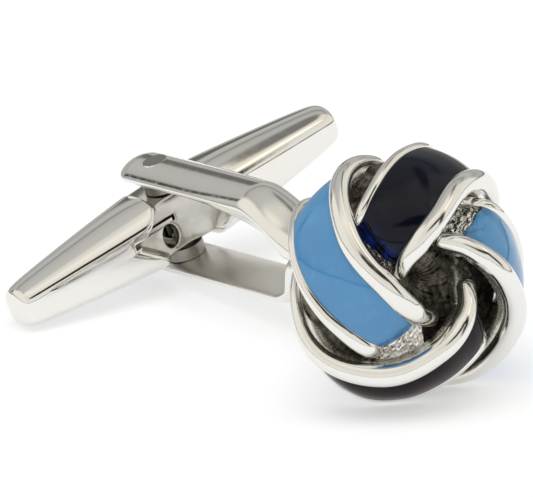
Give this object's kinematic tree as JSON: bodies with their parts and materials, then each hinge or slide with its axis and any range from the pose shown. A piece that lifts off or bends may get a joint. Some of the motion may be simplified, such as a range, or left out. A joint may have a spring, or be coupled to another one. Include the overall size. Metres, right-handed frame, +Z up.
{
  "type": "knot cufflink",
  "caption": "Cufflink with an enamelled knot of crescent bands on a forked shank, closed by a swivelling bullet-shaped toggle bar.",
  "frame": {"origin": "middle of the outline seen from above, at the height of the table that the cufflink lies on", "axes": "+Z up from the table; -Y along the shank towards the knot; +X along the toggle bar"},
  "size_m": [0.0196, 0.0262, 0.0117],
  "materials": {
    "plated_casting": "polished silver-coloured plating on brass",
    "plated_shank": "polished silver-coloured plating on brass",
    "plated_toggle": "polished silver-coloured plating on brass",
    "spring_steel": "satin",
    "blue_enamel": "glossy light blue enamel",
    "navy_enamel": "glossy navy enamel"
  },
  "bodies": {
    "knot_and_shank": {"knot_casting": "plated_casting", "enamel_blue_left": "blue_enamel", "enamel_blue_right": "blue_enamel", "enamel_navy_top": "navy_enamel", "enamel_navy_bottom": "navy_enamel", "shank": "plated_shank", "pivot_pin": "plated_shank"},
    "toggle": {"toggle_bar": "plated_toggle", "leaf_spring": "spring_steel"}
  },
  "joints": [
    {"name": "toggle_swivel", "type": "hinge", "parent": "knot_and_shank", "child": "toggle", "pos_m": [0, 0.01031, 0.00335], "axis": [-0.2326, 0.1246, 0.9645], "range_deg": [-90, 90]}
  ]
}
